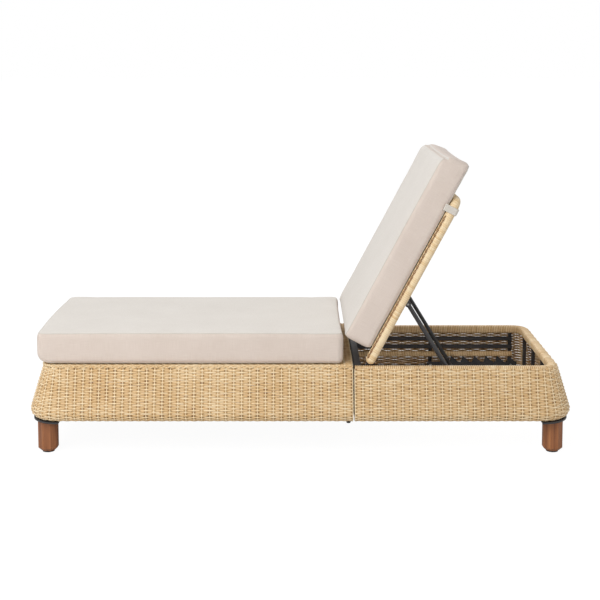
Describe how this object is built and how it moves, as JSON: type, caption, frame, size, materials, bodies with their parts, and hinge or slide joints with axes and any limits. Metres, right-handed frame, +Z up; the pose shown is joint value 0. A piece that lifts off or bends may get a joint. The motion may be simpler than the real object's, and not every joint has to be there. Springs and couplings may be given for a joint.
{
  "type": "chaise longue",
  "caption": "Wicker patio chaise longue: two woven base modules on timber legs, a backrest that reclines on a ratchet prop, and loose box cushions.",
  "frame": {"origin": "on the floor under the middle of the base", "axes": "+X along the length from the foot end to the head end where the backrest is, +Y across the chaise, away from the side the picture shows, +Z up"},
  "size_m": [2, 0.8, 1.1061],
  "materials": {
    "wicker": "satin woven resin strand",
    "frame_black": "satin powder coat",
    "teak": "oiled",
    "cushion_fabric": "woven outdoor canvas",
    "strap_web": "flat woven webbing",
    "hardware": "zinc plated",
    "black_plastic": "moulded"
  },
  "bodies": {
    "base": {"front_skirt": "wicker", "rear_skirt": "wicker", "front_deck": "wicker", "front_top_rail": "frame_black", "rear_top_rail": "frame_black", "rear_rim_wrap": "wicker", "front_bottom_rail": "frame_black", "rear_bottom_rail": "frame_black", "front_posts": "frame_black", "rear_posts": "frame_black", "seat_cross_tubes": "frame_black", "front_joint_frame": "frame_black", "rear_joint_frame": "frame_black", "rear_stringers": "frame_black", "rear_mid_rails": "wicker", "left_rack": "frame_black", "right_rack": "frame_black", "rack_standoffs": "frame_black", "rack_bolts": "hardware", "hinge_brackets": "frame_black", "hinge_pins": "hardware", "joint_bolts": "hardware", "joint_spacers": "hardware", "joint_nuts": "hardware", "joint_bumpers": "black_plastic", "corner_gussets": "frame_black", "gusset_screws": "hardware", "leg_bolts": "hardware", "leg_glides": "black_plastic", "front_left_leg": "teak", "front_right_leg": "teak", "rear_left_leg": "teak", "rear_right_leg": "teak", "seat_cushion": "cushion_fabric"},
    "backrest": {"back_frame_tube": "frame_black", "back_rim_wrap": "wicker", "back_lower_rail": "wicker", "back_cross_tubes": "frame_black", "back_woven_panel": "wicker", "hinge_bushes": "black_plastic", "prop_ears": "frame_black", "prop_pins": "hardware"},
    "prop": {"left_prop_leg": "frame_black", "right_prop_leg": "frame_black", "prop_foot_bar": "frame_black"},
    "back_cushion": {"back_cushion": "cushion_fabric", "cushion_strap": "strap_web"}
  },
  "joints": [
    {"name": "backrest_recline", "type": "hinge", "parent": "base", "child": "backrest", "pos_m": [0.258, 0, 0.348], "axis": [0, 1, 0], "range_deg": [0, 62]},
    {"name": "prop_swing", "type": "hinge", "parent": "backrest", "child": "prop", "pos_m": [0.3954, 0, 0.54676], "axis": [0, 1, 0], "range_deg": [-101.79, 0]},
    {"name": "back_cushion_slide", "type": "slide", "parent": "backrest", "child": "back_cushion", "axis": [0.4695, 0, 0.8829], "range_m": [-0.1, 0]}
  ],
  "couplings": [
    {"joint": "prop_swing", "follows": "backrest_recline", "ratio": -1.6416},
    {"joint": "back_cushion_slide", "follows": "backrest_recline", "m_per_rad": -0.0924}
  ]
}
